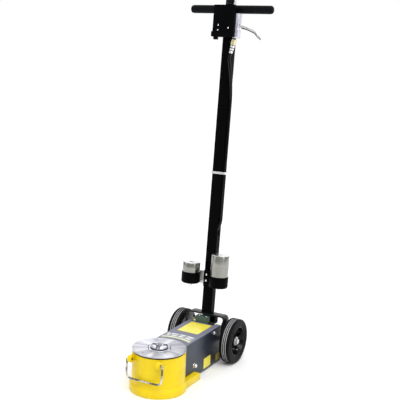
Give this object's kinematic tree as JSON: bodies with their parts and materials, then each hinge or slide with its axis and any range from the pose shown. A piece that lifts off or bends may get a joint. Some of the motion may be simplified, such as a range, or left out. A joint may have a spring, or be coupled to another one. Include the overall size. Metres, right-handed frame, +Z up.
{
  "type": "air-hydraulic truck jack",
  "caption": "Low two-stage air-hydraulic jack on a two-wheeled carriage with tilting T-handle, squeeze valve, carry bail and lift-out extension adapters.",
  "frame": {"origin": "on the ground plane, at the lift axis, in the middle of the base plate's underside", "axes": "+Z up along the lift axis, +Y back from the cylinder to the wheels, +X to the side that carries the squeeze valve"},
  "size_m": [0.351, 0.5969, 1.4247],
  "materials": {
    "yellow_paint": "glossy yellow enamel",
    "slate_paint": "semi-gloss slate grey powder coat",
    "black_paint": "semi-gloss black powder coat",
    "grey_green_paint": "dark grey-green paint",
    "zinc_plate": "bright zinc plate",
    "machined_steel": "turned and ground steel",
    "chrome": "hard chrome",
    "aluminium": "cast and brushed aluminium",
    "brass": "plain brass",
    "sintered_bronze": "porous sintered bronze",
    "tyre_rubber": "solid grooved rubber",
    "hub_plastic": "black moulded plastic",
    "hose_rubber": "smooth black hose rubber",
    "grip_rubber": "dark grey foam rubber",
    "seal_rubber": "black seal rubber"
  },
  "bodies": {
    "jack": {"base_plate": "yellow_paint", "cylinder_tube": "yellow_paint", "head_plate": "machined_steel", "bail_lug_left": "yellow_paint", "bail_lug_right": "yellow_paint", "cover": "slate_paint", "cover_screw_left_front": "zinc_plate", "cover_screw_left_rear": "zinc_plate", "cover_screw_right_front": "zinc_plate", "cover_screw_right_rear": "zinc_plate", "chassis_pan": "black_paint", "pump_block": "grey_green_paint", "air_motor": "aluminium", "oil_reservoir": "machined_steel", "valve_manifold": "grey_green_paint", "brass_elbow": "brass", "exhaust_silencer": "sintered_bronze", "axle": "zinc_plate", "axle_washer_left": "zinc_plate", "axle_washer_right": "zinc_plate", "split_pin_left": "zinc_plate", "split_pin_right": "zinc_plate"},
    "outer_ram": {"outer_ram": "machined_steel", "outer_ram_seal": "seal_rubber"},
    "inner_ram": {"inner_ram": "chrome", "inner_ram_seal": "seal_rubber"},
    "saddle": {"saddle": "chrome"},
    "carry_bail": {"carry_bail": "chrome"},
    "wheel_left": {"tyre_left": "tyre_rubber", "hub_left": "hub_plastic"},
    "wheel_right": {"tyre_right": "tyre_rubber", "hub_right": "hub_plastic"},
    "handle": {"yoke": "grey_green_paint", "pole": "black_paint", "pole_foot": "black_paint", "air_hose": "hose_rubber", "hose_gland": "seal_rubber", "hose_band": "zinc_plate", "cup_bracket": "black_paint", "cup_hanger": "zinc_plate", "bracket_bolt_upper": "zinc_plate", "bracket_bolt_lower": "zinc_plate", "cup_short": "black_paint", "cup_tall": "black_paint", "cup_stud_short": "zinc_plate", "cup_stud_tall": "zinc_plate", "control_box": "black_paint", "t_bar": "black_paint", "grip_left": "grip_rubber", "grip_right": "grip_rubber", "bleed_stud": "zinc_plate", "valve_body": "aluminium", "lever_pin": "zinc_plate", "inlet_block": "zinc_plate", "swivel_nut": "brass", "hose_ferrule": "zinc_plate"},
    "adapter_short": {"adapter_short": "zinc_plate"},
    "adapter_tall": {"adapter_tall": "zinc_plate"},
    "control_lever": {"control_lever": "aluminium"},
    "release_knob": {"release_knob": "hub_plastic"}
  },
  "joints": [
    {"name": "outer_ram_lift", "type": "slide", "parent": "jack", "child": "outer_ram", "axis": [0, 0, 1], "range_m": [0, 0.075]},
    {"name": "inner_ram_lift", "type": "slide", "parent": "outer_ram", "child": "inner_ram", "axis": [0, 0, 1], "range_m": [0, 0.075]},
    {"name": "saddle_turn", "type": "hinge", "parent": "inner_ram", "child": "saddle", "pos_m": [0, 0, 0.15], "axis": [0, 0, 1], "continuous": true},
    {"name": "bail_swing", "type": "hinge", "parent": "jack", "child": "carry_bail", "pos_m": [0, -0.1005, 0.1325], "axis": [-1, 0, 0], "range_deg": [0, 165]},
    {"name": "handle_tilt", "type": "hinge", "parent": "jack", "child": "handle", "pos_m": [0, 0.3831, 0.0889], "axis": [-1, 0, 0], "range_deg": [0, 75]},
    {"name": "wheel_left_spin", "type": "hinge", "parent": "jack", "child": "wheel_left", "pos_m": [0, 0.3831, 0.0889], "axis": [1, 0, 0], "continuous": true},
    {"name": "wheel_right_spin", "type": "hinge", "parent": "jack", "child": "wheel_right", "pos_m": [0, 0.3831, 0.0889], "axis": [1, 0, 0], "continuous": true},
    {"name": "adapter_short_lift", "type": "slide", "parent": "handle", "child": "adapter_short", "axis": [0, 0.0732, 0.9973], "range_m": [0, 0.06]},
    {"name": "adapter_tall_lift", "type": "slide", "parent": "handle", "child": "adapter_tall", "axis": [0, 0.0732, 0.9973], "range_m": [0, 0.06]},
    {"name": "lever_squeeze", "type": "hinge", "parent": "handle", "child": "control_lever", "pos_m": [0.0465, 0.43743, 1.32023], "axis": [0, -0.9973, 0.0732], "range_deg": [0, 12], "stiffness_Nm_per_rad": 1.5, "springref_deg": -11.46},
    {"name": "knob_turn", "type": "hinge", "parent": "handle", "child": "release_knob", "pos_m": [0.01, 0.43503, 1.39681], "axis": [0, 0.0732, 0.9973], "range_deg": [0, 270]}
  ]
}
